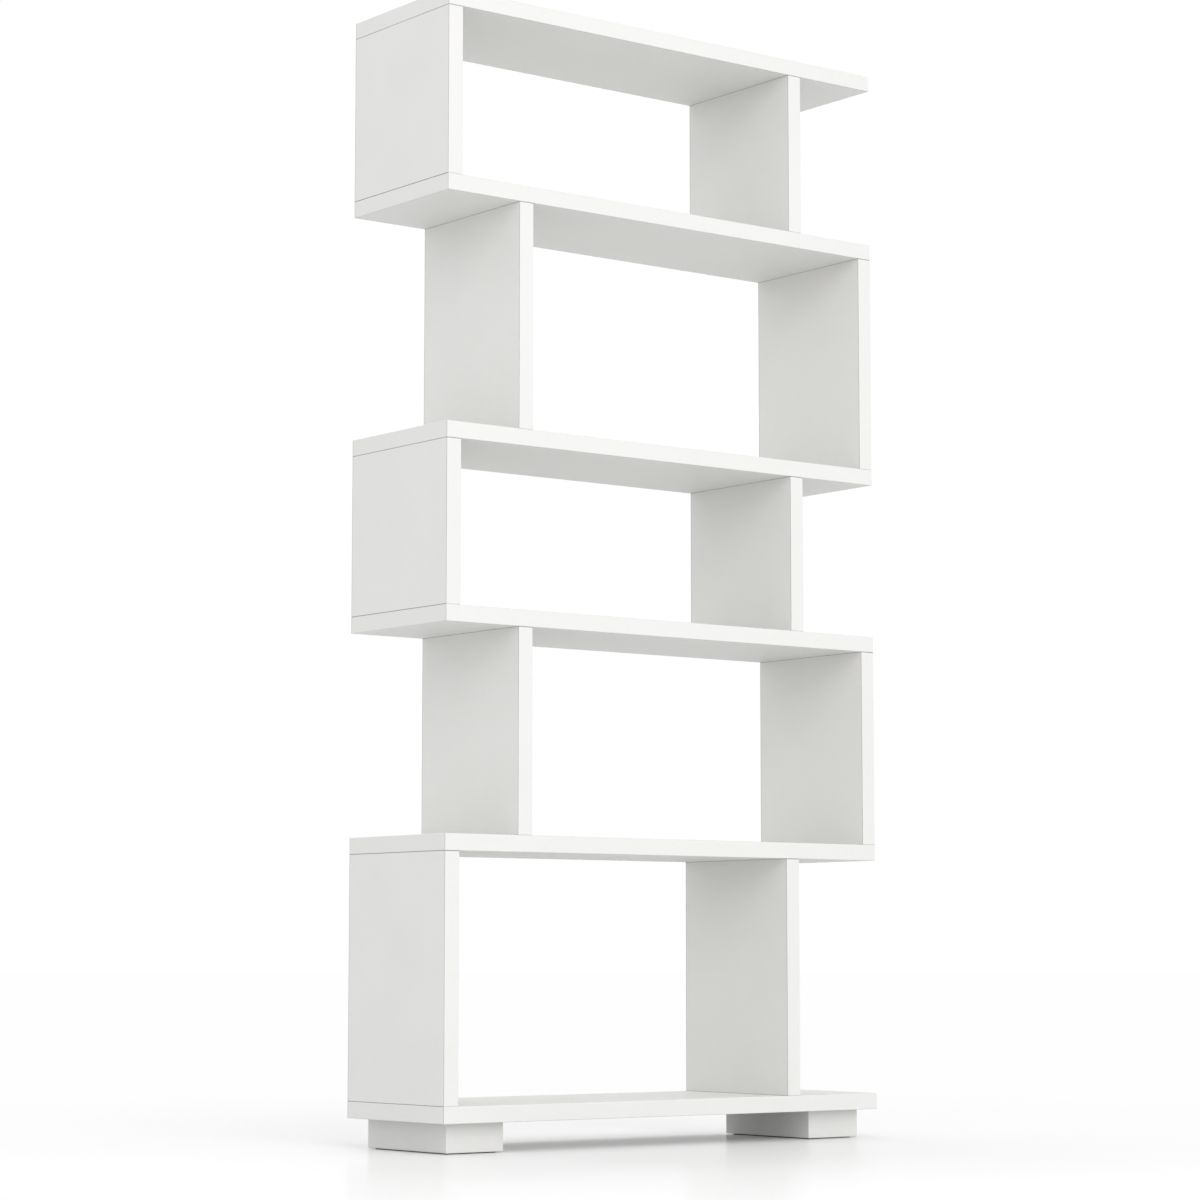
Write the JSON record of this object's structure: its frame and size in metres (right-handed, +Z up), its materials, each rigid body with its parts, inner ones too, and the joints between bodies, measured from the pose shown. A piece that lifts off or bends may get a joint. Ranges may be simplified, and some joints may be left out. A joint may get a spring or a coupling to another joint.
{
  "type": "zigzag bookshelf",
  "caption": "Open white bookshelf whose uprights step left and right from tier to tier, so that it reads as a zigzag, on low block feet.",
  "frame": {"origin": "on the floor, under the middle of the shelves", "axes": "+X along the shelves to the right as seen from the front, +Y from the front to the back, +Z up"},
  "size_m": [0.6, 0.18, 1.23],
  "materials": {
    "white_melamine_board": "particle board with a satin white melamine face",
    "white_edge_band": "satin white plastic edge band with eased edges",
    "white_foot": "fibreboard block with satin white paint",
    "felt": "dark grey felt",
    "cast_zinc": "dull zinc casting",
    "plated_steel": "zinc plated steel",
    "white_cap": "satin white moulded plastic",
    "beech": "plain beech"
  },
  "bodies": {
    "root": {"bottom_shelf": "white_melamine_board", "shelf_2": "white_melamine_board", "shelf_3": "white_melamine_board", "shelf_4": "white_melamine_board", "shelf_5": "white_melamine_board", "top_shelf": "white_melamine_board", "tier_1_left_upright": "white_melamine_board", "tier_1_right_upright": "white_melamine_board", "tier_2_left_upright": "white_melamine_board", "tier_2_right_upright": "white_melamine_board", "tier_3_left_upright": "white_melamine_board", "tier_3_right_upright": "white_melamine_board", "tier_4_left_upright": "white_melamine_board", "tier_4_right_upright": "white_melamine_board", "tier_5_left_upright": "white_melamine_board", "tier_5_right_upright": "white_melamine_board", "bottom_shelf_edge_bands": "white_edge_band", "shelf_2_edge_bands": "white_edge_band", "shelf_3_edge_bands": "white_edge_band", "shelf_4_edge_bands": "white_edge_band", "shelf_5_edge_bands": "white_edge_band", "top_shelf_edge_bands": "white_edge_band", "tier_1_left_upright_edge_bands": "white_edge_band", "tier_1_right_upright_edge_bands": "white_edge_band", "tier_2_left_upright_edge_bands": "white_edge_band", "tier_2_right_upright_edge_bands": "white_edge_band", "tier_3_left_upright_edge_bands": "white_edge_band", "tier_3_right_upright_edge_bands": "white_edge_band", "tier_4_left_upright_edge_bands": "white_edge_band", "tier_4_right_upright_edge_bands": "white_edge_band", "tier_5_left_upright_edge_bands": "white_edge_band", "tier_5_right_upright_edge_bands": "white_edge_band", "tier_1_cam_locks": "cast_zinc", "tier_1_cam_bolts": "plated_steel", "tier_1_cam_caps": "white_cap", "tier_1_dowels": "beech", "tier_2_cam_locks": "cast_zinc", "tier_2_cam_bolts": "plated_steel", "tier_2_cam_caps": "white_cap", "tier_2_dowels": "beech", "tier_3_cam_locks": "cast_zinc", "tier_3_cam_bolts": "plated_steel", "tier_3_cam_caps": "white_cap", "tier_3_dowels": "beech", "tier_4_cam_locks": "cast_zinc", "tier_4_cam_bolts": "plated_steel", "tier_4_cam_caps": "white_cap", "tier_4_dowels": "beech", "tier_5_cam_locks": "cast_zinc", "tier_5_cam_bolts": "plated_steel", "tier_5_cam_caps": "white_cap", "tier_5_dowels": "beech", "left_foot": "white_foot", "left_foot_pad": "felt", "right_foot": "white_foot", "right_foot_pad": "felt", "foot_screws": "plated_steel"}
  },
  "joints": []
}
